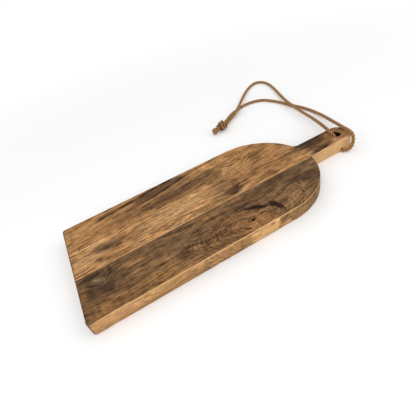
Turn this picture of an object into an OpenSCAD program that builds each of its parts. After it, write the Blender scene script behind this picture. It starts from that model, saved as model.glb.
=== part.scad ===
/* [Board] */
// Width across the three planks, which is also the diameter of the arch
board_w = 200; // [170:1:260]
// Length of the straight part, from the square end to the start of the arch
straight_l = 308; // [220:1:400]
// Thickness of the planks
board_t = 23; // [18:0.5:30]
// Plan radius of the two corners at the square end
corner_r = 5; // [4:0.5:15]
// Radius that eases every outer edge
edge_r = 1.6; // [0.6:0.1:3]

/* [Handle] */
// Width of the handle
handle_w = 42; // [36:1:56]
// Length of the handle past the top of the arch
handle_l = 92; // [75:1:130]
// Plan radius of the two corners at the handle's end
handle_end_r = 14; // [6:0.5:17]
// Radius of the fillet where the arch runs into the far side of the handle
neck_r = 10; // [5:0.5:18]
// Distance that the handle's plank runs past that fillet, up to the outer plank
neck_margin = 7.3; // [3:0.1:20]

/* [Hanging hole] */
// Diameter of the hole through the handle
hole_d = 15; // [14:0.5:18]
// Distance from the centre of the hole to the end of the handle
hole_inset = 22.5; // [18:0.5:40]
// Sideways distance from the centre of the hole to the cord groove under the handle
groove_shift = 5.5; // [3:0.5:7]
// Play round the cord in that groove
cord_play = 0.5; // [0.3:0.1:1]

/* [Glue joint] */
// Thickness of the glue film between the planks
glue_t = 0.2; // [0.1:0.05:0.5]
// Distance that the film stays back from the outer faces
glue_back = 0.6; // [0.2:0.1:1.5]

/* [Cord] */
// Diameter of the twisted hanging cord
cord_d = 6; // [5:0.2:6.2]

/* [Knot] */
// Diameter of the overhand knot across its wraps
knot_d = 19.6; // [16:0.2:19.8]
// Length of the knot along the cord
knot_l = 18; // [14:0.5:24]
// Depth of the grooves between the knot's wraps
wrap_dip = 2.4; // [1:0.2:4]

/* [Hidden] */
$fn = 96;

// The origin is under the middle of the board's length and width, on the surface it lies on.
arch_r = board_w / 2;
half_l = (straight_l + arch_r + handle_l) / 2;
arch_x = straight_l - half_l;
hole_x = half_l - hole_inset;

// The planed edge at the dark plank is also the near side of the handle.
dark_seam_y = -handle_w / 2;
handle_root_x = arch_x + arch_r / 2;

// The neck's fillet is tangent to the arch and to the far side of the handle.
neck_y = handle_w / 2 + neck_r;
neck_x = arch_x + sqrt((arch_r + neck_r) * (arch_r + neck_r) - neck_y * neck_y);
arch_centre = [arch_x, 0];
neck_centre = [neck_x, neck_y];
neck_dir = (neck_centre - arch_centre) / norm(neck_centre - arch_centre);

// The outer seam passes the neck on its far side.
outer_seam_y = arch_r * neck_dir.y + neck_margin;

groove_w = cord_d + 2 * cord_play;
groove_x = hole_x - groove_shift;

// Cuts run past the faces by this much.
overrun = 2;
edge_steps = 5;

cord_sides = 10;
ring_step = 3 * cord_d;
knot_wraps = 3;
wrap_steps = 8;

// The upper strand leaves the hole, falls over the far side of the handle, lies on the table in
// a wide bend and comes back to the knot. It crosses over the lower strand twice.
top_route = [
  [224, 0, 12], [224, 0, 18], [224, 2, 23.5], [222.5, 7, 28.5], [222, 18, 31.5],
  [227, 35, 30], [236, 54, 24], [246, 76, 17], [255, 101, 12], [262, 130, 10],
  [268, 155, 9.6], [274, 182, 9.6], [283, 208, 8], [296, 242, 4.4], [312, 288, 3.2],
  [320, 320, 3.2], [318, 338, 3.2], [309, 349, 3.2], [295, 350, 3.2], [269, 335, 3.2],
  [239, 309, 6], [208, 278, 9.4], [186, 256, 9.6], [164, 241, 8.4], [146, 229, 9],
  [126, 214.5, 10],
];

// The lower strand runs through the groove, round the handle's end and over it to the table.
under_route = [
  [224, 0, 12], [224, 0, 8.2], [223, -4, 4.4], [222, -10, 3.2], [222, -19, 3.1],
  [223.5, -26, 3.1], [228, -31, 5], [234, -32, 10], [239, -29, 17], [242.5, -23.5, 25],
  [244.5, -12, 28.3], [247, 2, 27.5], [250, 16, 26.6], [256, 37, 22.5], [265, 60, 15.5],
  [276, 86, 8], [283, 110, 4], [285, 132, 3.2], [283, 156, 3.2], [276, 182, 3.2],
  [271, 210, 3.2], [263, 235, 3.2], [252, 252, 3.2], [235, 260, 3.2], [212, 262, 3.2],
  [192, 260, 3.2], [174, 254.5, 3.2], [156, 244, 6], [140, 233, 9], [122, 220, 10],
];

// The two cut ends past the knot.
tail_routes = [
  [[111.5, 204, 10], [105, 200, 9], [97, 199.5, 7]],
  [[107.5, 209.5, 10], [101, 206, 9], [93, 205.5, 7]],
];

top_end = top_route[len(top_route) - 1];
under_end = under_route[len(under_route) - 1];
knot_at = (top_end + under_end) / 2;
knot_turn = atan2(under_end.x - top_end.x, top_end.y - under_end.y);

// Outer side of an eased edge at the given reach, from the bottom face up to the top face
function eased_side(reach) = concat(
  [for (i = [0:edge_steps]) let (a = 90 * i / edge_steps)
    [reach - edge_r * (1 - sin(a)), edge_r * (1 - cos(a))]],
  [for (i = [0:edge_steps]) let (a = 90 * i / edge_steps)
    [reach - edge_r * (1 - cos(a)), board_t - edge_r * (1 - sin(a))]]
);

// Section from a centre line out to an eased edge
function half_section(reach) = concat([[0, 0]], eased_side(reach), [[0, board_t]]);

// Section with an eased edge on both sides
function full_section(w) = let (side = eased_side(w / 2)) concat(
  side,
  [for (i = [len(side) - 1:-1:0]) [-side[i].x, side[i].y]]
);

function unit(v) = v / norm(v);

// Point of the smooth curve from b to c, with a and d as the points on either side
function curve_point(a, b, c, d, t) = (
  2 * b
  + (c - a) * t
  + (2 * a - 5 * b + 4 * c - d) * t * t
  + (3 * b - a - 3 * c + d) * t * t * t
) / 2;

// Route with its two ends carried straight on by one point
function run_on(p) = let (n = len(p) - 1)
  concat([2 * p[0] - p[1]], p, [2 * p[n] - p[n - 1]]);

// Ring centres along a route, about ring_step apart, through each of its points
function ring_centres(route) = let (p = run_on(route), last = len(route)) concat(
  [for (i = [1:last - 1])
    let (rings = max(1, round(norm(p[i + 1] - p[i]) / ring_step)))
    for (k = [0:rings - 1]) curve_point(p[i - 1], p[i], p[i + 1], p[i + 2], k / rings)],
  [route[last - 1]]
);

function tangents(c) = let (n = len(c) - 1)
  [for (i = [0:n]) unit(c[min(i + 1, n)] - c[max(i - 1, 0)])];

// Side direction of each ring, carried along without twist
function side_dirs(t, i = 0, side = [1, 0, 0]) = i == len(t) ? [] :
  let (flat = unit(side - (side * t[i]) * t[i]))
  concat([flat], side_dirs(t, i + 1, flat));

module turned_edge(r, sweep) {
  rotate_extrude(angle = sweep)
    polygon(half_section(r));
}

// Slab along X with a rounded, eased end at zero and a plain end at its length
module eased_slab(l, w, r) {
  translate([r, 0, 0])
    rotate([90, 0, 90])
      linear_extrude(l - r)
        polygon(full_section(w));
  translate([r, r - w / 2, 0])
    rotate([90, 0, 180])
      linear_extrude(w - 2 * r)
        polygon(half_section(r));
  translate([r, w / 2 - r, 0])
    rotate([0, 0, 90])
      turned_edge(r, 90);
  translate([r, r - w / 2, 0])
    rotate([0, 0, 180])
      turned_edge(r, 90);
}

// Round cut through the thickness whose two mouths are eased
module eased_hole(r) {
  side = [for (p = eased_side(r)) [2 * r - p.x, p.y]];
  mouth = r + edge_r;
  rotate_extrude()
    polygon(concat(
      [[0, -overrun], [mouth, -overrun]],
      side,
      [[mouth, board_t + overrun], [0, board_t + overrun]]
    ));
}

module board_blank() {
  translate([-half_l, 0, 0])
    eased_slab(straight_l, board_w, corner_r);
  translate([arch_x, 0, 0])
    rotate([0, 0, -90])
      turned_edge(arch_r, 180);
}

// Everything on one side of a plane across Y
module side_of(y, w) {
  translate([-half_l - overrun, y, -overrun])
    cube([2 * (half_l + overrun), w, board_t + 2 * overrun]);
}

module handle_bar() {
  translate([half_l, 0, 0])
    rotate([0, 0, 180])
      eased_slab(half_l - handle_root_x, handle_w, handle_end_r);
}

module neck() {
  difference() {
    linear_extrude(board_t)
      polygon([
        neck_centre,
        arch_centre + arch_r * neck_dir,
        arch_centre + (arch_r - neck_r) * neck_dir,
        [neck_x, handle_w / 2 - neck_r],
        [neck_x, handle_w / 2],
      ]);
    translate(neck_centre)
      eased_hole(neck_r);
  }
}

// Groove under the handle, so that the board lies flat on the cord
module cord_groove() {
  translate([groove_x, 0, 0])
    rotate([90, 0, 0])
      linear_extrude(handle_w / 2 + overrun)
        union() {
          translate([0, groove_w / 2])
            circle(d = groove_w);
          translate([-groove_w / 2, -overrun])
            square([groove_w, groove_w / 2 + overrun]);
        }
}

module swept_cord(route) {
  centres = ring_centres(route);
  along = tangents(centres);
  side = side_dirs(along);
  last = len(centres) - 1;
  points = [
    for (i = [0:last])
      let (up = cross(along[i], side[i]))
      for (k = [0:cord_sides - 1])
        let (a = 360 * k / cord_sides)
        centres[i] + (cord_d / 2) * (cos(a) * side[i] + sin(a) * up)
  ];
  walls = [
    for (i = [0:last - 1])
      for (k = [0:cord_sides - 1])
        let (
          a = i * cord_sides + k,
          b = i * cord_sides + (k + 1) % cord_sides
        )
        for (f = [[a, a + cord_sides, b], [b, a + cord_sides, b + cord_sides]]) f
  ];
  first_cap = [for (k = [0:cord_sides - 1]) k];
  last_cap = [for (k = [cord_sides - 1:-1:0]) last * cord_sides + k];
  polyhedron(points, concat(walls, [first_cap, last_cap]));
}

// Film in the seam whose near side is at the given Y
module glue_film(y) {
  reach = max(abs(y), abs(y + glue_t));
  end_x = arch_x + sqrt(arch_r * arch_r - reach * reach);
  translate([glue_back - half_l, y, glue_back])
    cube([end_x + half_l - 2 * glue_back, glue_t, board_t - 2 * glue_back]);
}

module outer_plank() {
  color("#a5763f")
    intersection() {
      board_blank();
      side_of(outer_seam_y + glue_t, board_w);
    }
}

module handle_plank() {
  color("#b98a56")
    difference() {
      union() {
        intersection() {
          board_blank();
          side_of(dark_seam_y, outer_seam_y - dark_seam_y);
        }
        handle_bar();
        neck();
      }
      translate([hole_x, 0, 0])
        eased_hole(hole_d / 2);
      cord_groove();
    }
}

module dark_plank() {
  color("#6b5038")
    intersection() {
      board_blank();
      side_of(dark_seam_y - glue_t - board_w, board_w);
    }
}

module outer_glue_line() {
  color("#d9c89a")
    glue_film(outer_seam_y);
}

module dark_glue_line() {
  color("#d9c89a")
    glue_film(dark_seam_y - glue_t);
}

module cord_top_strand() {
  color("#a5784a")
    swept_cord(top_route);
}

module cord_under_strand() {
  color("#a5784a")
    swept_cord(under_route);
}

module cord_knot() {
  wrap_points = [
    for (i = [0:knot_wraps * wrap_steps])
      let (s = i / wrap_steps)
      [knot_d / 2 - wrap_dip * (1 - abs(sin(180 * s))), knot_l * s / knot_wraps]
  ];
  color("#a5784a")
    translate(knot_at)
      rotate([0, 90, knot_turn])
        rotate_extrude()
          polygon(concat([[0, 0]], wrap_points, [[0, knot_l]]));
}

module cord_tails() {
  color("#a5784a")
    for (route = tail_routes) swept_cord(route);
}

outer_plank();
handle_plank();
dark_plank();
outer_glue_line();
dark_glue_line();
cord_top_strand();
cord_under_strand();
cord_knot();
cord_tails();
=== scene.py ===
"""Paddle serving board of three planks with a knotted hanging cord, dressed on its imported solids."""

import logging
import math
from dataclasses import dataclass, field
from enum import Enum
from typing import Any, Sequence

import bmesh
import bpy
import numpy as np
from mathutils import Matrix, Vector


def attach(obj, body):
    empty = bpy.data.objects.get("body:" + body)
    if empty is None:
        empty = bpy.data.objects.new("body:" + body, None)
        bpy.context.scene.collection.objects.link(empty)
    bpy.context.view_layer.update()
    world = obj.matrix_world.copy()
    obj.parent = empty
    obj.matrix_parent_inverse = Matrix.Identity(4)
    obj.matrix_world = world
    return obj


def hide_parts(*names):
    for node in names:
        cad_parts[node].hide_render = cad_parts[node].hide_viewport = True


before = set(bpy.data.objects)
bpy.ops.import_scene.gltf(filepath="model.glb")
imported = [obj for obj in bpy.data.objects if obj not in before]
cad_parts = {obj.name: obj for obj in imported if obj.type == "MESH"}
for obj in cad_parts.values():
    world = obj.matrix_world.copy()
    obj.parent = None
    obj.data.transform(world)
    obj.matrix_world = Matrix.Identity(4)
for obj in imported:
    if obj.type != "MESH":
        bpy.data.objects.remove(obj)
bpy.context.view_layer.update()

MM = 0.001
ROOT = "root"
# Height of the serving face above the table, in millimetres.
FACE = 23.0
# Points that a smooth line gets for each span of its route.
SPAN_POINTS = 24
# Half the length of a streak's mark as a share of its span, so that the marks overlap.
STREAK_OVERLAP = 0.75
# Inputs and output of a Mix node on colours, whose names occur more than once.
LOWER, UPPER, MIXED = 6, 7, 2
log = logging.getLogger("serving_board")

Point = tuple[float, float, float]
Tree = bpy.types.NodeTree
Socket = bpy.types.NodeSocket
Links = dict[Any, Any]


def linear(hue: str) -> tuple[float, float, float, float]:
    """Turn an sRGB hex colour into linear light.

    Args:
        hue: Colour as "#rrggbb".

    Returns:
        Red, green, blue and a full alpha.
    """
    parts = [int(hue[i : i + 2], 16) / 255 for i in (1, 3, 5)]
    red, green, blue = [c / 12.92 if c <= 0.04045 else ((c + 0.055) / 1.055) ** 2.4 for c in parts]
    return red, green, blue, 1.0


def feed(tree: Tree, node: bpy.types.Node, links: Links) -> None:
    """Set or link a node's inputs.

    Args:
        tree: Node tree of the node.
        node: The node.
        links: Input name or number to a plain value or to the output that feeds it.
    """
    for key, value in links.items():
        if isinstance(value, Socket):
            tree.links.new(value, node.inputs[key])
        else:
            node.inputs[key].default_value = value


def add_node(
    tree: Tree,
    kind: str,
    links: Links | None = None,
    stops: Sequence[tuple[float, str]] = (),
    **settings: Any,
) -> bpy.types.Node:
    """Add one shader node with its settings and links.

    Args:
        tree: Node tree that gets the node.
        kind: Blender's type name without its ShaderNode prefix.
        links: Input name or number to a plain value or to the output that feeds it.
        stops: Places and sRGB hex colours of a colour ramp.
        **settings: Attributes of the node.

    Returns:
        The new node.
    """
    node = tree.nodes.new("ShaderNode" + kind)
    for name, value in settings.items():
        setattr(node, name, value)
    feed(tree, node, links or {})
    for i, (place, hue) in enumerate(stops):
        ramp = node.color_ramp.elements
        stop = ramp[i] if i < len(ramp) else ramp.new(place)
        stop.position = place
        stop.color = linear(hue)
    return node


def new_material(name: str) -> tuple[bpy.types.Material, Tree, bpy.types.Node]:
    """Start a material that holds only its shader and output.

    Args:
        name: Name of the finish.

    Returns:
        The material, its node tree and its principled shader.
    """
    material = bpy.data.materials.new(name)
    material.use_nodes = True
    tree = material.node_tree
    tree.nodes.clear()
    shader = add_node(tree, "BsdfPrincipled")
    add_node(tree, "OutputMaterial", {"Surface": shader.outputs["BSDF"]})
    return material, tree, shader


def distances(line: np.ndarray) -> np.ndarray:
    """Distance along a line at each of its points, in the line's own unit."""
    return np.concatenate([[0], np.cumsum(np.linalg.norm(np.diff(line, axis=0), axis=1))])


def smooth_line(points: Sequence[Point], step: float) -> np.ndarray:
    """Run a smooth curve through a route's points.

    Args:
        points: Route in millimetres.
        step: Distance between the points that are returned, in metres.

    Returns:
        Evenly spaced points of the curve, in metres.
    """
    route = np.array(points, float) * MM
    run = np.vstack([2 * route[0] - route[1], route, 2 * route[-1] - route[-2]])
    share = np.linspace(0, 1, SPAN_POINTS, endpoint=False)[:, None]
    spans = []
    for a, b, c, d in zip(run, run[1:], run[2:], run[3:]):
        square = 2 * a - 5 * b + 4 * c - d
        cube = 3 * b - a - 3 * c + d
        spans.append((2 * b + (c - a) * share + square * share**2 + cube * share**3) / 2)
    dense = np.vstack([*spans, route[-1:]])
    along = distances(dense)
    even = np.linspace(0, along[-1], max(2, round(along[-1] / step)) + 1)
    return np.stack([np.interp(even, along, dense[:, i]) for i in range(3)], axis=1)


class Edge(Enum):
    """How far a mark's edge strays along, across and into the wood, in millimetres."""

    WISPY = (55.0, 12.0, 10.0)
    STREAKY = (40.0, 5.0, 6.0)
    CRISP = (12.0, 6.0, 4.0)
    FIRM = (8.0, 2.0, 3.0)
    CLEAN = (0.0, 0.0, 0.0)


@dataclass(frozen=True)
class Mark:
    """One stain, streak or pale patch in a plank's figure, or a patch of painted shade or painted highlight.

    Attributes:
        at: Middle of the mark in plan, in millimetres.
        half: Half its length and half its width, in millimetres.
        turn: Angle of its length from the plank's length, in degrees.
        hue: Colour of its core.
        cover: How fully the core hides the wood, from 0 to 1.
        edge: How far its edge strays.
        fade: Share of its radius over which it fades out.
        deep: Half its depth, in millimetres.
        level: Height of its middle, in millimetres.
    """

    at: tuple[float, float]
    half: tuple[float, float]
    turn: float
    hue: str
    cover: float = 0.8
    edge: Edge = Edge.STREAKY
    fade: float = 0.8
    deep: float = 40.0
    level: float = FACE


def streak(
    path: Sequence[tuple[float, float]], half: float, hue: str, cover: float, edge: Edge = Edge.FIRM
) -> tuple[Mark, ...]:
    """Draw a streak along a line as a chain of marks.

    Args:
        path: Points of the line in plan, in millimetres.
        half: Half the streak's width, in millimetres.
        hue: Colour of its core.
        cover: How fully the core hides the wood.
        edge: How far its edge strays.

    Returns:
        One mark for each span of the line.
    """
    return tuple(
        Mark(
            at=((x + u) / 2, (y + v) / 2),
            half=(STREAK_OVERLAP * math.hypot(u - x, v - y), half),
            turn=math.degrees(math.atan2(v - y, u - x)),
            hue=hue,
            cover=cover,
            edge=edge,
        )
        for (x, y), (u, v) in zip(path, path[1:])
    )


@dataclass(frozen=True)
class Knot:
    """A place that the grain flows round.

    Attributes:
        at: Middle of the knot in plan, in millimetres.
        half: Half its reach along and across the plank, in millimetres.
        rise: How far the growth rings are pushed aside at the middle, in millimetres.
        circles: Number of growth rings that close round the knot within its reach.
        depth: Strength of those rings.
        level: Height of its middle, in millimetres.
        deep: Half its reach through the plank, in millimetres.
        ring_deep: Half the reach of its closed rings below the face, in millimetres.
    """

    at: tuple[float, float]
    half: tuple[float, float]
    rise: float
    circles: int = 0
    depth: float = 0.0
    level: float = 12.0
    deep: float = 70.0
    ring_deep: float = 60.0


@dataclass(frozen=True)
class Timber:
    """Oiled hardwood, planed and sanded, with a satin skin.

    The growth rings give bands that run along the plank and close round the knots, the fibres
    give fine streaks along the bands, and the cut pores give short dark dashes.

    Attributes:
        name: Name of the finish.
        hues: Dark ring, plain wood and pale wood.
        slope: Angle of the grain from the plank's length, in degrees.
        lean: How far the rings move sideways for each millimetre of depth.
        curl: Strength of the ripples across the grain.
        lines: Strength of the streaks along the grain.
        clouds: Strength of the cloudy patches.
        seed: Place in the noise that this plank was sawn from, in metres.
        knots: Knots that turn the grain.
        marks: Stains and streaks under the grain, and some patches of painted shade and painted highlight,
            from the lowest to the one on top.
        veils: Smooth tones that lie over the grain, among them a painted highlight, from the lowest to the
            one on top.
        fibres: Strength of the fine fibres.
        tone: Mean level of the shade that the grain lays over the colours.
        sway: How far the grain strays sideways, in millimetres.
        pore: Colour of the cut pores.
    """

    name: str
    hues: tuple[str, str, str]
    slope: float
    lean: float
    curl: float
    lines: float
    clouds: float
    seed: float
    knots: tuple[Knot, ...]
    marks: tuple[Mark, ...]
    veils: tuple[Mark, ...]
    fibres: float = 3.5
    tone: float = 0.94
    sway: float = 6.0
    pore: str = "#452a15"

    def material(self) -> bpy.types.Material:
        """Build the wood's node material.

        Returns:
            The new material.
        """
        material, tree, shader = new_material(self.name)
        place = add_node(tree, "TexCoord").outputs["Object"]
        mm = add_node(tree, "VectorMath", {0: place, "Scale": 1 / MM}, operation="SCALE").outputs[0]
        grain = self.grain(tree, mm)
        # Growth rings about 5.5 mm wide and 140 mm long.
        rings = self.noise(tree, grain, (140, 5.5, 40), 4, 0.6)
        dark, plain, pale = self.hues
        stops = ((0.36, dark), (0.46, plain), (0.54, plain), (0.66, pale))
        wood = add_node(tree, "ValToRGB", {"Fac": rings}, stops=stops).outputs["Color"]
        wood = self.marked(tree, mm, grain, wood, self.marks)
        # Streaks 3 mm wide, fibres 1.2 mm wide, cloudy patches 9 mm wide and ripples 4 mm wide.
        streaks = self.noise(tree, grain, (40, 3, 12), 3, 0.6)
        fibres = self.noise(tree, grain, (22, 1.2, 5), 3, 0.6)
        clouds = self.noise(tree, mm, (16, 9, 12), 2, 0.5)
        ripples = self.noise(tree, mm, (4, 30, 5), 2, 0.5)
        layers = [(streaks, self.lines), (fibres, self.fibres), (clouds, self.clouds), (ripples, self.curl)]
        layers += [(self.circles(tree, mm, knot), knot.depth) for knot in self.knots if knot.circles]
        shade: Any = self.tone - sum(weight for _, weight in layers) / 2
        for layer, weight in layers:
            inputs: Links = {0: layer, 1: weight, 2: shade}
            shade = add_node(tree, "Math", inputs, operation="MULTIPLY_ADD").outputs[0]
        inputs = {"Factor": 1.0, LOWER: wood, UPPER: shade}
        wood = add_node(tree, "Mix", inputs, data_type="RGBA", blend_type="MULTIPLY").outputs[MIXED]
        # Cut pores about 0.9 mm wide and 8 mm long, a little coarser than the real ones so that they show.
        pores = self.noise(tree, grain, (8, 0.9, 3), 2, 0.5)
        inputs = {"Value": pores, "From Min": 0.56, "From Max": 0.7, "To Max": 0.6}
        pit = add_node(tree, "MapRange", inputs).outputs[0]
        inputs = {"Factor": pit, LOWER: wood, UPPER: linear(self.pore)}
        wood = add_node(tree, "Mix", inputs, data_type="RGBA").outputs[MIXED]
        wood = self.marked(tree, mm, grain, wood, self.veils)
        # The oil leaves the skin glossier on some fibres than on others.
        inputs = {"Value": fibres, "From Min": 0.25, "From Max": 0.75, "To Min": 0.44, "To Max": 0.6}
        skin = add_node(tree, "MapRange", inputs).outputs[0]
        relief = add_node(tree, "Math", {0: fibres, 1: pit}, operation="SUBTRACT").outputs[0]
        bump = add_node(tree, "Bump", {"Height": relief, "Strength": 0.35, "Distance": 0.12 * MM})
        feed(tree, shader, {"Base Color": wood, "Roughness": skin, "Normal": bump.outputs[0]})
        feed(tree, shader, {"IOR": 1.5, "Specular IOR Level": 0.05})
        return material

    def grain(self, tree: Tree, mm: Socket) -> Socket:
        """Coordinates that follow the grain: along it, across its rings, and depth.

        Args:
            tree: Node tree of the finish.
            mm: Place on the board in millimetres.

        Returns:
            Vector output in millimetres.
        """
        inputs: Links = {"Vector": mm, "Rotation": (0, 0, -math.radians(self.slope))}
        turned = add_node(tree, "Mapping", inputs, vector_type="POINT").outputs[0]
        # The grain wanders from side to side over about 130 mm.
        wander = self.noise(tree, turned, (130, 45, 60), 2, 0.5)
        inputs = {"Value": wander, "From Min": 0.3, "From Max": 0.7}
        inputs |= {"To Min": -self.sway, "To Max": self.sway}
        wander = add_node(tree, "MapRange", inputs, clamp=False).outputs[0]
        axes = add_node(tree, "SeparateXYZ", {0: turned}).outputs
        across = add_node(tree, "Math", {0: axes[1], 1: wander}, operation="ADD").outputs[0]
        inputs = {0: axes[2], 1: self.lean, 2: across}
        across = add_node(tree, "Math", inputs, operation="MULTIPLY_ADD").outputs[0]
        for knot in self.knots:
            inputs = {"Vector": mm, "Location": (*knot.at, knot.level), "Scale": (*knot.half, knot.deep)}
            local = add_node(tree, "Mapping", inputs, vector_type="TEXTURE").outputs[0]
            swell = add_node(tree, "TexGradient", {0: local}, gradient_type="QUADRATIC_SPHERE").outputs["Fac"]
            inputs = {0: swell, 1: knot.rise, 2: across}
            across = add_node(tree, "Math", inputs, operation="MULTIPLY_ADD").outputs[0]
        shift = add_node(tree, "Math", {0: axes[0], 1: self.seed / MM}, operation="ADD").outputs[0]
        return add_node(tree, "CombineXYZ", {0: shift, 1: across, 2: axes[2]}).outputs[0]

    def circles(self, tree: Tree, mm: Socket, knot: Knot) -> Socket:
        """Growth rings that close round a knot and die out at its reach.

        Args:
            tree: Node tree of the finish.
            mm: Place on the board in millimetres.
            knot: The knot.

        Returns:
            Value output round one half.
        """
        inputs = {"Vector": mm, "Location": (*knot.at, FACE), "Scale": (*knot.half, knot.ring_deep)}
        local = add_node(tree, "Mapping", inputs, vector_type="TEXTURE").outputs[0]
        # A wave of the ring kind has a period of a twentieth of a full turn at scale 1.
        scale = knot.circles * math.tau / 20
        inputs = {"Vector": local, "Scale": scale, "Distortion": 3.6, "Detail": 3.0, "Detail Scale": 1.2}
        wave = add_node(tree, "TexWave", inputs, wave_type="RINGS", rings_direction="SPHERICAL")
        reach = add_node(tree, "TexGradient", {0: local}, gradient_type="SPHERICAL").outputs["Fac"]
        inputs = {"Value": reach, "From Max": 0.4}
        mask = add_node(tree, "MapRange", inputs, interpolation_type="SMOOTHSTEP").outputs[0]
        inputs = {"Factor": mask, "A": 0.5, "B": wave.outputs["Fac"]}
        return add_node(tree, "Mix", inputs, data_type="FLOAT").outputs[0]

    def marked(self, tree: Tree, mm: Socket, grain: Socket, wood: Socket, marks: Sequence[Mark]) -> Socket:
        """Lay marks over the wood, with edges that break up along the fibres.

        Args:
            tree: Node tree of the finish.
            mm: Place on the board in millimetres.
            grain: Coordinates that follow the grain.
            wood: Colour of the wood below the marks.
            marks: The marks, from the lowest to the one on top.

        Returns:
            Colour with the marks in it.
        """
        # Stains creep along the fibres in wisps about 3 mm wide and 22 mm long.
        wisp = add_node(tree, "Mapping", {"Vector": grain, "Scale": (1 / 22, 1 / 3.2, 1 / 12)}).outputs[0]
        creep = add_node(tree, "TexNoise", {"Vector": wisp, "Scale": 1.0, "Detail": 3.0}).outputs["Color"]
        creep = add_node(tree, "VectorMath", {0: creep, 1: (0.5, 0.5, 0.5)}, operation="SUBTRACT").outputs[0]
        edges = {}
        for edge in Edge:
            inputs: Links = {0: creep, 1: edge.value, 2: mm}
            edges[edge] = add_node(tree, "VectorMath", inputs, operation="MULTIPLY_ADD").outputs[0]
        for mark in marks:
            inputs = {
                "Vector": edges[mark.edge],
                "Location": (*mark.at, mark.level),
                "Rotation": (0, 0, math.radians(mark.turn)),
                "Scale": (*mark.half, mark.deep),
            }
            local = add_node(tree, "Mapping", inputs, vector_type="TEXTURE").outputs[0]
            reach = add_node(tree, "TexGradient", {0: local}, gradient_type="SPHERICAL").outputs["Fac"]
            inputs = {"Value": reach, "From Max": mark.fade, "To Max": mark.cover}
            mask = add_node(tree, "MapRange", inputs, interpolation_type="SMOOTHSTEP").outputs[0]
            inputs = {"Factor": mask, LOWER: wood, UPPER: linear(mark.hue)}
            wood = add_node(tree, "Mix", inputs, data_type="RGBA").outputs[MIXED]
        return wood

    @staticmethod
    def noise(tree: Tree, place: Socket, sizes: Point, detail: float, rough: float) -> Socket:
        """Noise whose grains have the given sizes.

        Args:
            tree: Node tree of the finish.
            place: Coordinates.
            sizes: Size of a grain along each axis, in the coordinates' unit.
            detail: Number of finer layers.
            rough: Strength of each finer layer.

        Returns:
            Value output from 0 to 1.
        """
        sized = add_node(tree, "Mapping", {"Vector": place, "Scale": [1 / size for size in sizes]}).outputs[0]
        inputs = {"Vector": sized, "Scale": 1.0, "Detail": detail, "Roughness": rough}
        return add_node(tree, "TexNoise", inputs).outputs[0]


OUTER_TIMBER = Timber(
    name="oiled_acacia_outer",
    hues=("#8f653b", "#ae7f4f", "#c0925f"),
    slope=5.0,
    lean=0.7,
    curl=0.45,
    lines=1.9,
    clouds=1.2,
    seed=1.3,
    knots=(Knot((54, 50), (46, 26), 12, 8, 0.42), Knot((-60, 30), (120, 40), 10)),
    marks=(
        Mark((104, 66), (66, 42), 0, "#a67849", 0.6, Edge.WISPY),
        Mark((-215, 95), (42, 7), 0, "#98693c", 0.75),
        Mark((-238, 76), (16, 8), 0, "#bd9060", 0.6, Edge.WISPY),
        Mark((-238, 48), (18, 10), 0, "#94693f", 0.6),
        Mark((-184, 54), (62, 12), 3, "#96693e", 0.65),
        Mark((-140, 56), (58, 22), 3, "#7b5938", 0.8, Edge.WISPY),
        Mark((28, 60), (32, 26), 10, "#8d6540", 0.75),
        Mark((12, 41), (26, 9), 0, "#84603c", 0.75),
        Mark((-62, 56), (84, 26), 4, "#664930", 0.95, Edge.STREAKY, 0.7),
        Mark((-4, 55), (44, 25), 12, "#76573a", 0.85, Edge.STREAKY, 0.7),
        Mark((-92, 82), (68, 14), 7, "#5f442c", 0.92, Edge.STREAKY, 0.7),
        Mark((-62, 86), (42, 11), 8, "#5a402a", 0.9, Edge.STREAKY, 0.7),
        Mark((-182, 88), (16, 5), 20, "#7d5733", 0.75),
        Mark((-58, 70), (74, 11), 8, "#86623f"),
        *streak(
            ((-192, 81), (-158, 85.4), (-122, 89.5), (-80, 95.5), (-46, 98)), 7, "#66472c", 0.9, Edge.STREAKY
        ),
        *streak(((-197, 79.3), (-176, 82), (-158, 84.6), (-140, 86.6)), 3.8, "#2c1c10", 0.97),
        *streak(((-146, 86), (-122, 88.4), (-100, 91.4), (-80, 94.6), (-50, 96.6)), 5, "#2c1c10", 0.97),
        *streak(((-154, 67.8), (-126, 70.5), (-100, 72.6)), 3.6, "#442d1a", 0.92),
        *streak(((-106, 72), (-82, 76), (-58, 81), (-23, 88.4)), 4.4, "#2e1e11", 0.97),
        Mark((8, 91), (28, 2.4), 6, "#8d643b", 0.6, Edge.WISPY),
        Mark((-199.5, 57), (2.8, 2.2), 0, "#54391f", 0.9, Edge.CRISP, 0.7),
        Mark((-210, 55), (2.6, 2), 0, "#745130", 0.8, Edge.CRISP, 0.7),
        Mark((-170, 64.5), (8, 2.4), 8, "#7f5b38"),
        *streak(((25, 38), (29, 49), (36, 59), (50, 67)), 5, "#c09463", 0.8, Edge.STREAKY),
        *streak(((40, 40), (44, 50), (54, 59)), 3.4, "#c09159", 0.75, Edge.STREAKY),
        *streak(((57, 41), (63, 50), (74, 56)), 4, "#c09463", 0.8, Edge.STREAKY),
        Mark((92, 53), (40, 14), 0, "#74522f", 0.88),
        Mark((74, 58), (6, 5), 0, "#7a5736"),
        Mark((92, 42.5), (40, 3.4), 1, "#7f5b37", 0.75),
        Mark((120, 72), (24, 4), -20, "#8a6239", 0.6),
        Mark((142, 46), (15, 17), 0, "#704d2e", 0.8, Edge.WISPY),
        Mark((-251, 60), (3.8, 90), 0, "#6b4a2c", 0.9, Edge.CLEAN, 0.5, 200),
    ),
    veils=(Mark((-160, 64), (15, 9), 3, "#9a6d42", 0.5, Edge.STREAKY, 0.8, 12),),
)

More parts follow.
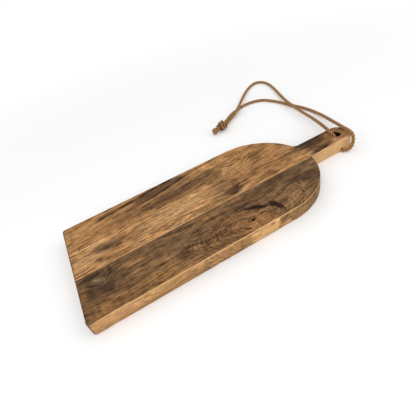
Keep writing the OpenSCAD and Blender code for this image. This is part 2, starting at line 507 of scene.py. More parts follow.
HANDLE_TIMBER = Timber(
    name="oiled_acacia_handle",
    hues=("#94693f", "#b38557", "#c59a6b"),
    slope=1.5,
    lean=0.8,
    curl=0.45,
    lines=1.7,
    clouds=1.2,
    seed=4.1,
    knots=(Knot((-195, 14), (60, 22), 12), Knot((-95, -22), (70, 22), 16), Knot((12, -6), (55, 22), 12)),
    marks=(
        Mark((-232, 10), (36, 26), 0, "#c09465", 0.85, Edge.WISPY),
        Mark((-70, 18), (66, 20), 0, "#c09261", 0.75, Edge.WISPY),
        Mark((60, 14), (52, 26), 2, "#9a6d42", 0.75, Edge.WISPY),
        Mark((116, 10), (60, 30), 0, "#936a3f", 0.75, Edge.WISPY),
        Mark((-214, 31.5), (44, 3.4), 0, "#cda272", 0.9),
        Mark((-200, -3), (52, 5), 4, "#9a6e42", 0.7),
        Mark((-178, -13), (24, 8), 10, "#8f653b", 0.75),
        Mark((-140, 22), (24, 11), 0, "#c0935f", 0.6, Edge.WISPY),
        Mark((-95, 6), (32, 9), 0, "#c59a69", 0.7, Edge.WISPY),
        Mark((-70, 12), (58, 14), 2, "#cfa574", 0.6, Edge.WISPY),
        Mark((8, 20), (34, 22), 0, "#7d5a39", 0.82),
        Mark((-20, -9), (18, 12), 10, "#7a5634"),
        Mark((76, -11), (38, 11), 3, "#835c36", 0.82),
        Mark((10, -7), (31, 14), 12, "#5a3f27", 0.95, Edge.STREAKY, 0.7),
        Mark((25, -1), (14, 11), 50, "#4d3521", 0.9),
        Mark((12, -12.5), (12, 3.6), 5, "#3f2a19", 0.9, Edge.FIRM, 0.7),
        Mark((-197, 15), (32, 14), -8, "#7d5f42", 0.88, Edge.STREAKY, 0.7),
        Mark((-209, 20), (12, 5.5), 10, "#644a33", 0.85),
        Mark((-192, 12), (14, 8), -25, "#5a432e", 0.88, Edge.STREAKY, 0.7),
        Mark((-178, 18), (11, 6), 0, "#735434", 0.75),
        Mark((-158, 9), (27, 8), 6, "#886039", 0.78),
        Mark((-178, 6), (10, 2.6), 8, "#2f1e12", 1.0, Edge.FIRM, 0.6),
        *streak(
            (
                (-133, -13.5), (-124, -9), (-113, -5.8), (-98, -3.2),
                (-80, -3.4), (-58, -8.6), (-45, -12), (-28, -14.8),
            ),
            2, "#77522e", 0.9,
        ),
        *streak(((-128, -19), (-116, -14.2), (-104, -11.4), (-90, -10.6)), 1.5, "#8c643a", 0.8),
        *streak(((-150, -7), (-134, -1.5), (-116, 2.6), (-92, 4)), 1.5, "#94693d", 0.7),
        *streak(((-240, -13), (-218, -5.5), (-196, 0.5), (-182, 2)), 1.6, "#94693d", 0.75),
        Mark((52, 3.5), (40, 3.2), 6, "#704e2c", 0.88),
        Mark((120, -10), (46, 12), 0, "#a97c4d", 0.6, Edge.WISPY),
        Mark((134, 10.5), (32, 4), 0, "#614429", 0.88),
        Mark((188, 2), (42, 24), 0, "#6b4a2d", 0.8, Edge.STREAKY, 0.5),
        Mark((184, 11), (34, 16), 0, "#523924", 0.95, Edge.STREAKY, 0.4),
        Mark((184, 18), (36, 8.5), 2, "#3b2818", 0.92, Edge.FIRM, 0.5),
        Mark((188, -2), (26, 3.4), 4, "#7a5733", 0.7),
        Mark((180, -15), (27, 9.5), 5, "#49321f", 0.93, Edge.FIRM, 0.6),
        Mark((204, -11.5), (13, 5), -20, "#6b4a2b"),
        Mark((176, -20), (24, 3.4), 0, "#2f1f13", 0.9, Edge.FIRM, 0.7),
        Mark((158, -6), (13, 6), 0, "#9a6e3f", 0.8, Edge.STREAKY, 0.6),
        Mark((227, 2), (23, 24), 0, "#916743", 0.85, Edge.STREAKY, 0.5),
        Mark((248, 4), (8, 24), 0, "#7e5d3d", 0.8, Edge.WISPY),
        Mark((190, 17), (58, 9), 0, "#3a281a", 0.7, Edge.STREAKY, 0.6),
        Mark((78, -15.5), (42, 4.5), 0, "#8a6038", 0.5, Edge.STREAKY, 0.7),
        Mark((206, -21.8), (75, 2.8), 0, "#cfa473", 0.97, Edge.FIRM, 0.4, 200),
        # Painted shade: near-black colour on the hanging hole's wall and eased rim, for the shade inside the
        # hole.
        Mark((227.5, 0), (8.7, 8.7), 0, "#24160b", 1.0, Edge.CLEAN, 0.1, 900),
        Mark((-251, 10), (3.8, 90), 0, "#6b4a2c", 0.9, Edge.CLEAN, 0.5, 200),
    ),
    veils=(
        Mark((208, -21.9), (70, 2.2), 0, "#cda273", 0.72, Edge.FIRM, 0.3, 200),
        Mark((-60, -21), (215, 3.4), 0, "#c49868", 0.6, Edge.CLEAN, 0.6),
        Mark((104, -21), (56, 3.2), 0, "#b98d5d", 0.4, Edge.CLEAN, 0.5),
    ),
)

DARK_TIMBER = Timber(
    name="oiled_acacia_dark",
    hues=("#5a4029", "#795a3c", "#8f6b47"),
    slope=0.0,
    lean=0.9,
    curl=0.8,
    lines=1.1,
    clouds=1.7,
    seed=7.7,
    knots=(
        Knot((0, -80), (125, 66), 24, 17, 0.3),
        Knot((-215, -50), (44, 34), 20),
        Knot((-74, -73), (32, 22), 4, 5, 0.5),
        Knot((-105, -77), (24, 17), 4, 5, 0.34),
        Knot((0, -81), (34, 19), 0, 7, 0.42),
        Knot((60, -68), (48, 42), 0, 12, 0.42),
    ),
    marks=(
        Mark((-110, -48), (64, 15), 0, "#76593f", 0.6, Edge.WISPY),
        Mark((-140, -88), (84, 17), 0, "#966d44", 0.8, Edge.WISPY),
        Mark((60, -36), (66, 16), 0, "#634932", 0.85, Edge.WISPY),
        Mark((114, -54), (42, 18), -12, "#553f2c", 0.92, Edge.STREAKY, 0.6),
        Mark((130, -31), (40, 11), 0, "#725941", 0.8, Edge.STREAKY, 0.7),
        Mark((-5, -82), (58, 24), 0, "#8a623c", 0.85, Edge.WISPY, 0.7),
        Mark((-62, -82), (22, 13), 0, "#8f643b", 0.65, Edge.WISPY),
        Mark((-4, -93), (28, 10), 0, "#ad7e4e"),
        Mark((62, -88), (20, 12), 0, "#a07a50", 0.7),
        Mark((80, -28), (48, 9), 0, "#4f3a28", 0.85, Edge.STREAKY, 0.7),
        Mark((-36, -58), (18, 11), 0, "#8f643b", 0.6),
        Mark((82, -82), (26, 22), 0, "#8f6c46", 0.8, Edge.WISPY),
        Mark((-60, -72), (13, 24), 0, "#66492f", 0.65, Edge.WISPY),
        Mark((-105, -76), (15, 14), 0, "#503925", 0.9, Edge.FIRM),
        Mark((-72, -74), (9, 9), 0, "#5a3f27", 0.8, Edge.FIRM),
        Mark((-126, -64.5), (30, 9), 0, "#94714b", 0.88, Edge.FIRM),
        Mark((84, -78), (11, 12), 0, "#6b4f34", 0.7),
        *streak(((-70, -55), (-84, -67), (-82, -82), (-72, -94)), 4, "#5f4329", 0.6, Edge.STREAKY),
        *streak(((-36, -57), (-47, -66), (-47, -80), (-38, -93)), 4.4, "#5f4329", 0.7, Edge.STREAKY),
        *streak(((101, -58), (98.5, -66), (94.6, -75), (90, -84), (85, -93)), 1.5, "#a07c52", 0.8),
        *streak(((92, -56), (90.5, -65), (86.5, -74), (81, -84), (76, -91)), 1.4, "#99754c", 0.75),
        Mark((-176, -50), (28, 8), 0, "#7d5f42", 0.9),
        Mark((-172, -38), (28, 8), 0, "#8c6741", 0.75),
        Mark((-163, -45), (26, 2.6), 0, "#976f47"),
        Mark((-45, -32), (26, 7), 4, "#946a3e", 0.7, Edge.STREAKY, 0.9),
        Mark((-215, -90), (42, 14), 0, "#84603a", 0.75, Edge.WISPY),
        Mark((-220, -46), (38, 34), 0, "#5a4330", 0.93, Edge.STREAKY, 0.6),
        Mark((-235, -46), (9, 28), 0, "#463222", 0.85, Edge.FIRM),
        Mark((-211, -60), (14, 9), 20, "#463223", 0.88, Edge.FIRM),
        Mark((-225, -38), (24, 9), -34, "#786049", 0.8, Edge.CRISP, 0.9),
        *streak(((-238, -29), (-229, -34), (-221, -41), (-214, -47)), 2, "#8b7357", 0.5),
        *streak(((-215, -38), (-213.5, -44), (-214.5, -50)), 1.5, "#a38a67", 0.4),
        *streak(((-204, -52), (-202, -58), (-206, -65), (-214, -68)), 1.7, "#3c2a1c", 0.85),
        *streak(((-207, -23), (-206, -32)), 1.3, "#8a6d4e", 0.6),
        *streak(((-198, -23), (-199, -33)), 1.3, "#8a6d4e", 0.6),
        *streak(((-234, -80), (-233, -95)), 1.5, "#ad7a46", 0.75),
        *streak(((-226, -78), (-225, -97)), 1.5, "#ad7a46", 0.75),
        *streak(((-217, -79), (-216, -97)), 1.5, "#ad7a46", 0.8),
        *streak(((-209, -81), (-208, -97)), 1.4, "#ad7a46", 0.7),
        *streak(((-240, -84), (-205, -84.5)), 1.2, "#a87243", 0.6),
        *streak(((-240, -91), (-198, -91.5)), 1.2, "#a87243", 0.6),
        Mark((-202, -30), (5, 12), 8, "#4b3626", 0.75, Edge.FIRM),
        Mark((-234, -28), (26, 11), 0, "#3f2c1d", 0.85, Edge.FIRM),
        Mark((-202, -91), (20, 10), 0, "#6f4d2c", 0.7),
        Mark((-248, -62), (8, 50), 0, "#7a5734", 0.7, Edge.WISPY),
        Mark((14, -80), (30, 12), -6, "#9c7146", 0.6, Edge.WISPY),
        Mark((10, -53), (26, 8), -8, "#553e2a", 0.6),
        Mark((0, -80.5), (5, 3.2), 0, "#24160d", 1.0, Edge.CRISP, 0.5),
        Mark((-16, -90), (9.5, 1.9), -31, "#2b1c12", 1.0, Edge.FIRM, 0.6),
        Mark((2, -54), (9, 3.4), -40, "#4a3322", 0.9, Edge.FIRM),
        *streak(((46, -48), (50, -58)), 2.4, "#8c6f50", 0.75),
        *streak(((53, -50), (54, -62), (57, -74)), 2.6, "#8c6f50", 0.7),
        Mark((10, -58.8), (15, 3.2), -22, "#2a1a10", 0.97, Edge.FIRM, 0.5),
        Mark((21, -64.5), (15.5, 5), -33, "#2a1a10", 0.97, Edge.FIRM, 0.4),
        Mark((40.2, -71.5), (9, 7), -66, "#2a1a10", 0.97, Edge.FIRM, 0.45),
        Mark((43.2, -80), (12, 5.6), -70, "#2a1a10", 0.97, Edge.FIRM, 0.45),
        *streak(((44, -84), (41, -91), (34, -97)), 1.4, "#4a321f", 0.75),
        Mark((-180, -101.4), (120, 3), 0, "#ba8e60", 0.97, Edge.FIRM, 0.4, 200),
        Mark((-70, -101.4), (64, 3), 0, "#a47c52", 0.97, Edge.FIRM, 0.5, 200),
        Mark((62, -101), (50, 4.5), 4, "#93704b", 0.9, Edge.FIRM, 0.5, 200),
        Mark((120, -76), (44, 4), 47, "#8d6c4b", 0.85, Edge.FIRM, 0.6, 9, 12),
        Mark((46, -101), (22, 4), 0, "#b88e61", 0.8, Edge.FIRM, 0.7, 10, 2),
        Mark((6, -101.4), (32, 3.2), 0, "#cfa26d", 0.97, Edge.FIRM, 0.3, 200),
        # Painted highlight along the top of the near side, and below it a darker band towards the side's
        # bottom.
        Mark((-120, -101.4), (150, 3), 0, "#cc9e68", 0.35, Edge.FIRM, 0.8, 9, 19),
        Mark((-110, -101.4), (150, 3), 0, "#9c734a", 0.5, Edge.FIRM, 0.8, 10, 2),
        Mark((-251, -60), (3.8, 90), 0, "#5b3f26", 0.9, Edge.CLEAN, 0.5, 200),
    ),
    veils=(
        Mark((-60, -21.2), (215, 4.4), 0, "#5f4630", 0.6, Edge.CLEAN, 0.7, 12),
        Mark((96, -21.2), (66, 4.4), 0, "#5a432f", 0.65, Edge.CLEAN, 0.5, 12),
        Mark((-190, -101.4), (120, 3), 0, "#b4895b", 0.45, Edge.CLEAN, 0.5, 200, 8),
        Mark((-60, -101.4), (60, 3), 0, "#a57c50", 0.4, Edge.CLEAN, 0.5, 12, 9),
        Mark((10, -101.4), (36, 3.4), 0, "#c99d69", 0.6, Edge.CLEAN, 0.5, 12, 9),
        Mark((74, -98), (34, 6), 14, "#8f6c47", 0.5, Edge.CLEAN, 0.5, 12, 9),
        Mark((116, -77), (36, 6), 42, "#86663f", 0.5, Edge.CLEAN, 0.5, 12, 9),
        Mark((-164, -101), (64, 3), 0, "#835d39", 0.65, Edge.CLEAN, 0.6, 9, 3),
        Mark((-126, -101), (30, 3), 0, "#8b633b", 0.65, Edge.CLEAN, 0.7, 9, 17.5),
        Mark((-21, -101), (14, 3), 0, "#b58a5b", 0.5, Edge.CLEAN, 0.7, 16, 10),
        Mark((41, -101), (13, 3), 0, "#c39a6b", 0.55, Edge.CLEAN, 0.7, 8, 4),
        Mark((-184, -50), (10, 6.5), 0, "#795b3d", 0.65, Edge.STREAKY, 0.7, 12),
        Mark((-141, -63), (15, 8), 0, "#93704a", 0.6, Edge.STREAKY, 0.8, 12),
        Mark((-180, -74), (13, 6), 0, "#8a673f", 0.55, Edge.STREAKY, 0.8, 12),
        Mark((-21, -63), (13, 7), 0, "#8a6641", 0.6, Edge.STREAKY, 0.8, 12),
        # Painted highlight: a pale band on the rounded top edge and just under it, all round the plank.
        Mark((-50, -100), (300, 100), 0, "#d0a470", 0.85, Edge.CLEAN, 0.6, 1.3, 21.7),
    ),
)


@dataclass(frozen=True)
class Jute:
    """Brown jute, laid up in three strands: matte, hairy, with fibres that run along each strand.

    Attributes:
        name: Name of the finish.
        dark: Colour of the darkest fibres.
        plain: Colour of most fibres.
        pale: Colour of the palest fibres.
        groove: Colour of the shade between the strands.
        hollow: Colour of the shade between the wraps of a knot.
    """

    name: str = "twisted_jute"
    dark: str = "#6d4726"
    plain: str = "#a57747"
    pale: str = "#d2a673"
    groove: str = "#553519"
    hollow: str = "#2e1c0e"

    def material(self) -> bpy.types.Material:
        """Build the cord's node material, which follows the strands' own UV map.

        Returns:
            The new material.
        """
        material, tree, shader = new_material(self.name)
        strand = add_node(tree, "UVMap", uv_map="strand").outputs[0]
        # Fibre bundles about 0.35 mm wide and 9 mm long, and patches 30 mm long; the map is in millimetres.
        fibre = Timber.noise(tree, strand, (9, 0.35, 1), 3, 0.6)
        patch = Timber.noise(tree, strand, (30, 6, 1), 2, 0.5)
        stops = ((0.28, self.dark), (0.47, self.plain), (0.72, self.pale))
        hue = add_node(tree, "ValToRGB", {"Fac": fibre}, stops=stops).outputs["Color"]
        inputs: Links = {"Value": patch, "From Min": 0.28, "From Max": 0.72, "To Min": 0.3, "To Max": 0.7}
        grey = add_node(tree, "MapRange", inputs).outputs[0]
        inputs = {"Factor": 0.5, LOWER: hue, UPPER: grey}
        hue = add_node(tree, "Mix", inputs, data_type="RGBA", blend_type="SOFT_LIGHT").outputs[MIXED]
        # Painted shade in the grooves between the strands, and deeper painted shade in the hollows of the
        # knot.
        inward = add_node(tree, "Attribute", attribute_name="groove").outputs["Fac"]
        inputs = {"Value": inward, "From Min": 0.06, "From Max": 0.4, "To Max": 0.72}
        shade = add_node(tree, "MapRange", inputs, interpolation_type="SMOOTHSTEP").outputs[0]
        inputs = {"Factor": shade, LOWER: hue, UPPER: linear(self.groove)}
        hue = add_node(tree, "Mix", inputs, data_type="RGBA").outputs[MIXED]
        inputs = {"Value": inward, "From Min": 1.0, "From Max": 2.0, "To Max": 0.9}
        deep = add_node(tree, "MapRange", inputs).outputs[0]
        inputs = {"Factor": deep, LOWER: hue, UPPER: linear(self.hollow)}
        hue = add_node(tree, "Mix", inputs, data_type="RGBA").outputs[MIXED]
        bump = add_node(tree, "Bump", {"Height": fibre, "Strength": 0.6, "Distance": 0.25 * MM})
        feed(tree, shader, {"Base Color": hue, "Normal": bump.outputs[0], "Roughness": 0.9})
        feed(tree, shader, {"Specular IOR Level": 0.15, "Sheen Weight": 0.1, "Sheen Roughness": 0.5})
        return material


@dataclass
class LaidCord:
    """Build of a three-strand cord.

    Attributes:
        nominal: Nominal diameter, that of the part's solids, in metres; not used in the build.
        diameter: Diameter over the strands, in metres.
        pitch: Length of one full turn of a strand, in metres.
        strands: Number of strands.
        strand_radius: Radius of a strand, as a share of the cord's diameter.
        uneven: Share by which a strand's thickness varies.
        beats: Speeds of the two waves in that thickness, in radians for each millimetre.
        beat_shift: Shift of the first wave from strand to strand, in radians.
        sides: Points round one strand.
        step: Distance between rings, in metres.
        flare: How much a cut end swells, as a share of the cord's thickness.
        flare_length: Length over which a cut end swells, in metres.
        end_round: Length over which a cut end rounds off, in metres.
        end_flat: Square of the share of the thickness that is left at the cut.
        fibre_slant: How far the fibres turn round the strand for each millimetre along it, in millimetres.
        map_gap: Distance between the strands in the UV map, in millimetres.
    """

    nominal: float = 6 * MM
    diameter: float = 6.2 * MM
    pitch: float = 16 * MM
    strands: int = 3
    strand_radius: float = 0.255
    uneven: float = 0.05
    beats: tuple[float, float] = (0.9, 0.37)
    beat_shift: float = 2.1
    sides: int = 14
    step: float = 0.9 * MM
    flare: float = 0.6
    flare_length: float = 13 * MM
    end_round: float = 5.5 * MM
    end_flat: float = 0.06
    fibre_slant: float = 0.45
    map_gap: float = 97.0

    def mesh(self, name: str, lines: Sequence[np.ndarray], cut_ends: bool = False) -> bpy.types.Object:
        """Lay twisted strands round each line and join them in one object.

        Args:
            name: Name of the object.
            lines: Centre lines in metres.
            cut_ends: Whether the far ends are rounded off as cut ends.

        Returns:
            The new object, with a UV map in millimetres along and round each strand.
        """
        bm = bmesh.new()
        layer = bm.loops.layers.uv.new("strand")
        # Amount of painted shade at each point: up to 1 in the grooves between the strands, above 1 in the
        # knot's hollows.
        bm.verts.layers.float.new("groove")
        for line in lines:
            for strand in range(self.strands):
                self.add_strand(bm, layer, line, strand, cut_ends)
        mesh = bpy.data.meshes.new(name)
        bm.to_mesh(mesh)
        bm.free()
        mesh.shade_smooth()
        piece = bpy.data.objects.new(name, mesh)
        bpy.context.scene.collection.objects.link(piece)
        return piece

    def frames(self, line: np.ndarray) -> tuple[np.ndarray, np.ndarray]:
        """Directions across a line, carried along it without twist.

        Args:
            line: Centre line in metres.

        Returns:
            Two directions at right angles to the line and to each other, one row for each point.
        """
        ahead = np.gradient(line, axis=0)
        ahead /= np.linalg.norm(ahead, axis=1)[:, None]
        side = np.zeros_like(line)
        last = np.array([1.0, 0.0, 0.0])
        for i, along in enumerate(ahead):
            last = last - (last @ along) * along
            last /= np.linalg.norm(last)
            side[i] = last
        return side, np.cross(ahead, side)

    def club(self, left: float) -> float:
        """Shape of a cut end, whose fibres spread a little and then round off.

        Args:
            left: Distance to the cut, in metres.

        Returns:
            Factor on the strands' thickness and on their distance from the middle.
        """
        spread = 1 + self.flare * max(0.0, 1 - left / self.flare_length)
        rounding = max(0.0, 1 - left / self.end_round)
        return spread * math.sqrt(max(self.end_flat, 1 - rounding**2))

    def add_strand(
        self,
        bm: bmesh.types.BMesh,
        layer: bmesh.types.BMLayerItem,
        line: np.ndarray,
        strand: int,
        cut_ends: bool,
    ) -> None:
        """Add one strand of the cord.

        Args:
            bm: Mesh that gets the strand.
            layer: UV layer, in millimetres.
            line: Centre line of the cord in metres.
            strand: Number of the strand.
            cut_ends: Whether the far end is rounded off.
        """
        side, third = self.frames(line)
        run = distances(line)
        # The strands are pressed together, so they are fatter than three round ones would be.
        thick = self.strand_radius * self.diameter
        groove = bm.verts.layers.float["groove"]
        offset = 0.5 * self.diameter - thick
        stretch = math.hypot(1, math.tau * offset / self.pitch)
        fast, slow = self.beats
        rings: list[list[bmesh.types.BMVert]] = []
        for i, centre in enumerate(line):
            angle = math.tau * (run[i] / self.pitch + strand / self.strands)
            out = math.cos(angle) * side[i] + math.sin(angle) * third[i]
            around = -math.sin(angle) * side[i] + math.cos(angle) * third[i]
            wave = math.sin(fast * run[i] / MM + self.beat_shift * strand) * math.sin(slow * run[i] / MM)
            swell = self.club(run[-1] - run[i]) if cut_ends else 1.0
            size = thick * (1 + self.uneven * wave) * swell
            ring = []
            for k in range(self.sides):
                turn = math.tau * k / self.sides
                across = math.cos(turn) * out + stretch * math.sin(turn) * around
                vert = bm.verts.new(centre + swell * offset * out + size * across)
                # Painted shade grows towards the side of the strand that faces the cord's middle, where the
                # strands meet.
                vert[groove] = 0.5 - 0.5 * math.cos(turn)
                ring.append(vert)
            rings.append(ring)
        girth = math.tau * thick / MM
        for i in range(len(rings) - 1):
            for k in range(self.sides):
                after = (k + 1) % self.sides
                face = bm.faces.new((rings[i][k], rings[i][after], rings[i + 1][after], rings[i + 1][k]))
                for loop, (row, col) in zip(face.loops, ((i, k), (i, k + 1), (i + 1, k + 1), (i + 1, k))):
                    u = run[row] * stretch / MM
                    v = girth * col / self.sides + self.fibre_slant * u
                    loop[layer].uv = (u + self.map_gap * strand, v)
        bm.faces.new(list(reversed(rings[0])))
        bm.faces.new(rings[-1])


TOP_ROUTE: tuple[Point, ...] = (
    (225.2, -3.2, 12), (225, -2.6, 15.5), (224.4, -0.8, 20), (223.9, 6, 24.7), (225.1, 15.6, 27),
    (230, 34.8, 27), (237.8, 52.8, 23), (248.8, 80, 17), (257.4, 102.5, 12), (263, 131, 10.2),
    (267.5, 155, 9.9), (272.5, 181, 9.9), (280.5, 207, 8), (294, 241, 4.4), (310, 287, 3.3),
    (317, 318, 3.3), (316.5, 337, 3.3), (309, 350, 3.3), (296, 353, 3.3), (270, 340, 3.3),
    (239.5, 312, 6), (208, 278, 9.4), (186, 256, 9.8), (174.5, 245.5, 9.2), (163.7, 238.2, 7.8),
    (148.7, 228.4, 7.4), (134.2, 218.2, 7.5), (124, 212.9, 8.8),
)

UNDER_ROUTE: tuple[Point, ...] = (
    (225.2, -3.2, 12), (224.6, -3.6, 8.2), (223, -6, 4.4), (222, -10, 3.3), (222, -19, 3.2),
    (223.8, -25, 3.3), (229, -29.2, 5), (235, -30.4, 10), (239.4, -28.2, 17), (242.4, -23.4, 25),
    (244.6, -12.2, 28), (247, 2, 27.3), (250, 16, 26.4), (257, 37.3, 22.5), (268.2, 61.7, 15.5),
    (280.1, 88.7, 8), (285.7, 111.7, 4.2), (286.8, 132, 3.3), (283.3, 156, 3.3), (276.5, 182.5, 3.3),
    (271.5, 210.5, 3.3), (263.5, 235.5, 3.3), (253.5, 254, 3.3), (238, 264.5, 3.3), (215, 268.5, 3.3),
    (196, 266, 3.3), (184, 259, 4), (166.8, 247.6, 8.2), (149.3, 233.8, 10.6), (133, 221, 11.9),
    (124, 215, 12.4),
)

TAIL_ROUTES: tuple[tuple[Point, ...], ...] = (
    ((121, 212.5, 9.5), (108, 208.6, 8.4), (101.5, 207.2, 6.8), (95.5, 207, 5.6), (91, 207.6, 5.2)),
    ((120, 213.6, 12.6), (108, 211.8, 11.2), (102, 211.4, 9.8), (96.6, 211.4, 8.8), (92, 211.6, 8.2)),
)


@dataclass
class HangingCord:
    """The knotted hanging cord: two strands from the hole to the knot, the knot and its tails.

    Attributes:
        lay: Build of the cord.
        finish: Its material.
        knot_length: Length of the knot along the cord, in metres.
        knot_radius: Distance from the knot's axis to the middle of its wraps, in metres.
        knot_turns: Turns that each of the two wrapped cords makes.
        knot_start: Angle of the first cord at the knot's middle, in degrees.
        knot_middle: Middle of the knot, in millimetres.
        knot_axis: Direction from the strands to the tails through the knot.
        knot_points: Points along each wrapped cord.
        knot_inset: Distance of the outer wraps from the knot's ends, in cord diameters.
        knot_tuck: Share of a wrapped cord, at either end, that turns in towards the axis.
        hollow_from: Depth at which the painted shade of a hollow between the wraps begins, in cord diameters.
        hollow_rate: How fast the painted shade of a hollow deepens with each cord diameter of depth.
        wrap_groove: Strength of the painted shade in the strands' grooves on top of the wraps.
    """

    lay: LaidCord = field(default_factory=LaidCord)
    finish: Jute = field(default_factory=Jute)
    knot_length: float = 20 * MM
    knot_radius: float = 7.2 * MM
    knot_turns: float = 1.1
    knot_start: float = -20.0
    knot_middle: Point = (117.2, 212.2, 11)
    knot_axis: Point = (-0.95, -0.27, -0.1)
    knot_points: int = 140
    knot_inset: float = 0.4
    knot_tuck: float = 0.12
    hollow_from: float = 0.15
    hollow_rate: float = 1.6
    wrap_groove: float = 0.5

    def build(self) -> list[bpy.types.Object]:
        """Returns:
            The cord's pieces.
        """
        lay = self.lay
        material = self.finish.material()
        top_line, under_line = (smooth_line(route, lay.step) for route in (TOP_ROUTE, UNDER_ROUTE))
        top = lay.mesh("top_strand", [top_line])
        under = lay.mesh("under_strand", [under_line])
        knot = lay.mesh("overhand_knot", self.knot_lines())
        tails = lay.mesh("cut_tails", [smooth_line(route, lay.step) for route in TAIL_ROUTES], cut_ends=True)
        nodes = ("cord_top_strand", "cord_under_strand", "cord_knot", "cord_tails")
        pieces = [top, under, knot, tails]
        self.shade_knot(knot)
        for piece, node in zip(pieces, nodes):
            piece.data.materials.append(material)
            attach(piece, ROOT)
            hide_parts(node)
        return pieces

    def shade_knot(self, knot: bpy.types.Object) -> None:
        """Paint shade into the hollows between the wraps, as into the strands' grooves but deeper, and weaken
        the strands' painted groove shade on top of the wraps.

        Args:
            knot: The knot.
        """
        axis = Vector(self.knot_axis).normalized()
        middle = Vector(self.knot_middle) * MM
        rim = self.knot_radius + 0.5 * self.lay.diameter
        groove = knot.data.attributes["groove"].data
        for i, vert in enumerate(knot.data.vertices):
            arm = vert.co - middle
            past = (rim - (arm - arm.dot(axis) * axis).length) / self.lay.diameter - self.hollow_from
            if past > 0:
                groove[i].value = 1 + min(1.0, self.hollow_rate * past)
            else:
                groove[i].value *= self.wrap_groove

    def knot_lines(self) -> list[np.ndarray]:
        """Centre lines of the two wrapped cords of the knot, side by side.

        Returns:
            Two lines in metres.
        """
        axis = np.array(self.knot_axis) / np.linalg.norm(self.knot_axis)
        up = np.array([0.0, 0.0, 1.0]) - axis[2] * axis
        up /= np.linalg.norm(up)
        across = np.cross(up, axis)
        inset = self.knot_inset * self.lay.diameter
        lines = []
        for half_turn in (0.0, math.pi):
            points = []
            for t in np.linspace(0, 1, self.knot_points):
                angle = math.radians(self.knot_start) + half_turn - math.tau * self.knot_turns * (t - 0.5)
                tuck = min(1.0, t / self.knot_tuck, (1 - t) / self.knot_tuck)
                reach = self.knot_radius * (0.5 + 0.5 * math.sin(0.5 * math.pi * tuck))
                along = (self.knot_length - 2 * inset) * (t - 0.5)
                ray = math.cos(angle) * across + math.sin(angle) * up
                points.append(np.array(self.knot_middle) * MM + along * axis + reach * ray)
            lines.append(np.array(points))
        return lines


@dataclass(frozen=True)
class CuredGlue:
    """Cured wood glue: a hard amber film with a dull skin.

    Attributes:
        name: Name of the finish.
        hue: Colour of the clear film.
        edge: Colour of the dark smears in it.
    """

    name: str = "cured_glue"
    hue: str = "#a87f4c"
    edge: str = "#7a5631"

    def material(self) -> bpy.types.Material:
        """Build the glue's node material.

        Returns:
            The new material.
        """
        material, tree, shader = new_material(self.name)
        place = add_node(tree, "TexCoord").outputs["Object"]
        # Smears about 4 mm long and 1 mm high where the film was squeezed.
        smear = Timber.noise(tree, place, (4 * MM, 4 * MM, MM / 0.9), 2, 0.5)
        stops = ((0.35, self.edge), (0.65, self.hue))
        hue = add_node(tree, "ValToRGB", {"Fac": smear}, stops=stops).outputs["Color"]
        feed(tree, shader, {"Base Color": hue, "Roughness": 0.5})
        return material


@dataclass
class Board:
    """The three planks and the two glue films between them.

    Attributes:
        timbers: Each plank's node and its wood.
        glue: Finish of the films.
    """

    timbers: dict[str, Timber] = field(
        default_factory=lambda: {
            "outer_plank": OUTER_TIMBER,
            "handle_plank": HANDLE_TIMBER,
            "dark_plank": DARK_TIMBER,
        }
    )
    glue: CuredGlue = field(default_factory=CuredGlue)

    def dress(self) -> list[str]:
        """Give each plank and glue film its finish.

        Returns:
            Names of the dressed nodes.
        """
        finishes = {node: timber.material() for node, timber in self.timbers.items()}
        film = self.glue.material()
        finishes |= {"outer_glue_line": film, "dark_glue_line": film}
        for node, material in finishes.items():
            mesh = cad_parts[node].data
            mesh.materials.clear()
            mesh.materials.append(material)
        return list(finishes)


class Lamp(Enum):
    """Soft boxes of the studio: place and size in metres, and power in watts."""

    KEY = ((-0.9, -1.5, 1.25), 1.2, 18.0)
    FILL = ((1.4, -0.6, 1.3), 1.2, 4.0)
    BACK = ((0.2, 1.5, 1.4), 1.4, 2.0)


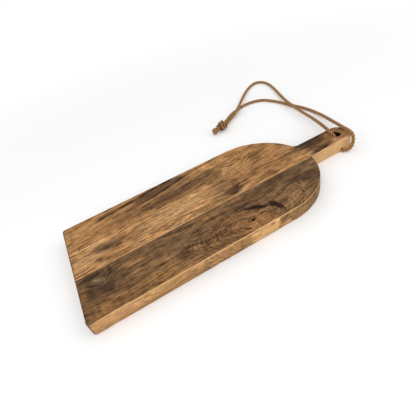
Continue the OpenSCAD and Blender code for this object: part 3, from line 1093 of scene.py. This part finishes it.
@dataclass
class Studio:
    """Camera, soft light and a plain pale floor.

    Attributes:
        eye: Place of the camera in metres.
        heading: Turn of the view round the vertical, in degrees.
        tilt: How far the view looks down, in degrees.
        roll: Turn of the camera round its own axis, in degrees.
        focal: Focal length in pixels of the picture.
        pixels: Width of the picture.
        sensor: Width of the camera's sensor in millimetres.
        clip: Nearest distance that the camera sees, in metres.
        floor_half: Half the floor's width in metres.
        floor_drop: Distance of the floor below the board, in metres.
        floor_hue: Colour of the floor near the board.
        floor_fade: Distances between which the floor runs out into white, in metres.
        ambient: Level of the light from the surroundings.
        aim: Point that the soft boxes face, in metres.
    """

    eye: Point = (-0.153805, -0.368992, 0.340775)
    heading: float = -18.077
    tilt: float = 40.488
    roll: float = -15.865
    focal: float = 324.043
    pixels: int = 416
    sensor: float = 36.0
    clip: float = 0.01
    floor_half: float = 6.0
    floor_drop: float = 0.2 * MM
    floor_hue: str = "#fcfcfc"
    floor_fade: tuple[float, float] = (0.45, 1.1)
    ambient: float = 0.76
    aim: Point = (0.03, 0.05, 0.0)

    def add_camera(self) -> bpy.types.Object:
        """Set up the camera at the photograph's angle.

        Returns:
            The camera.
        """
        turn, down, roll = (math.radians(v) for v in (self.heading, self.tilt, self.roll))
        back = Vector((math.sin(turn) * math.cos(down), -math.cos(turn) * math.cos(down), math.sin(down)))
        level = back.cross(Vector((0, 0, -1))).normalized()
        lift = level.cross(-back)
        right = math.cos(roll) * level + math.sin(roll) * lift
        up = math.cos(roll) * lift - math.sin(roll) * level
        data = bpy.data.cameras.new("camera")
        data.sensor_width = self.sensor
        data.lens = self.sensor * self.focal / self.pixels
        data.clip_start = self.clip
        camera = bpy.data.objects.new("camera", data)
        camera.matrix_world = Matrix((right, up, back)).transposed().to_4x4()
        camera.location = self.eye
        bpy.context.scene.collection.objects.link(camera)
        bpy.context.scene.camera = camera
        return camera

    def add_floor(self) -> bpy.types.Object:
        """Lay the pale floor just under the board.

        Returns:
            The floor.
        """
        bm = bmesh.new()
        bmesh.ops.create_grid(bm, x_segments=1, y_segments=1, size=self.floor_half)
        bmesh.ops.translate(bm, vec=(0, 0, -self.floor_drop), verts=bm.verts)
        mesh = bpy.data.meshes.new("floor")
        bm.to_mesh(mesh)
        bm.free()
        material, tree, shader = new_material("white_floor")
        place = add_node(tree, "TexCoord").outputs["Object"]
        far = add_node(tree, "VectorMath", {0: place}, operation="LENGTH").outputs["Value"]
        # Plain white paper near the board, which runs out into the white surroundings.
        near, out = self.floor_fade
        glow = add_node(tree, "MapRange", {"Value": far, "From Min": near, "From Max": out}).outputs[0]
        inputs = {"Factor": glow, LOWER: linear(self.floor_hue), UPPER: linear("#000000")}
        hue = add_node(tree, "Mix", inputs, data_type="RGBA").outputs[MIXED]
        feed(tree, shader, {"Base Color": hue, "Roughness": 1.0, "Specular IOR Level": 0.0})
        feed(tree, shader, {"Emission Color": linear("#ffffff"), "Emission Strength": glow})
        mesh.materials.append(material)
        floor = bpy.data.objects.new("floor", mesh)
        bpy.context.scene.collection.objects.link(floor)
        return floor

    def add_light(self) -> None:
        """Set the white surroundings and the soft boxes."""
        world = bpy.data.worlds.new("studio")
        bpy.context.scene.world = world
        world.use_nodes = True
        tree = world.node_tree
        tree.nodes.clear()
        rays = add_node(tree, "LightPath").outputs
        seen = rays["Is Camera Ray"]
        for kind in ("Is Glossy Ray", "Is Transmission Ray"):
            seen = add_node(tree, "Math", {0: seen, 1: rays[kind]}, operation="MAXIMUM").outputs[0]
        level = add_node(tree, "MapRange", {"Value": seen, "To Min": self.ambient}).outputs[0]
        sky = add_node(tree, "Background", {"Color": linear("#ffffff"), "Strength": level})
        add_node(tree, "OutputWorld", {"Surface": sky.outputs[0]})
        for lamp in Lamp:
            place, size, power = lamp.value
            data = bpy.data.lights.new(lamp.name.lower(), "AREA")
            data.size = size
            data.energy = power
            box = bpy.data.objects.new(lamp.name.lower(), data)
            box.location = place
            box.rotation_euler = (Vector(self.aim) - Vector(place)).to_track_quat("-Z", "Y").to_euler()
            bpy.context.scene.collection.objects.link(box)


def main() -> None:
    """Build the camera, the cord, the board and the studio, and log the cord's pieces and the dressed nodes.
    """
    logging.basicConfig(level=logging.INFO, format="%(name)s: %(message)s")
    bpy.context.scene.view_settings.view_transform = "Standard"
    studio = Studio()
    studio.add_camera()
    for piece in HangingCord().build():
        log.info("made %s, %d faces", piece.name, len(piece.data.polygons))
    for node in Board().dress():
        log.info("dressed %s", node)
    studio.add_floor()
    studio.add_light()


if __name__ == "__main__":
    main()
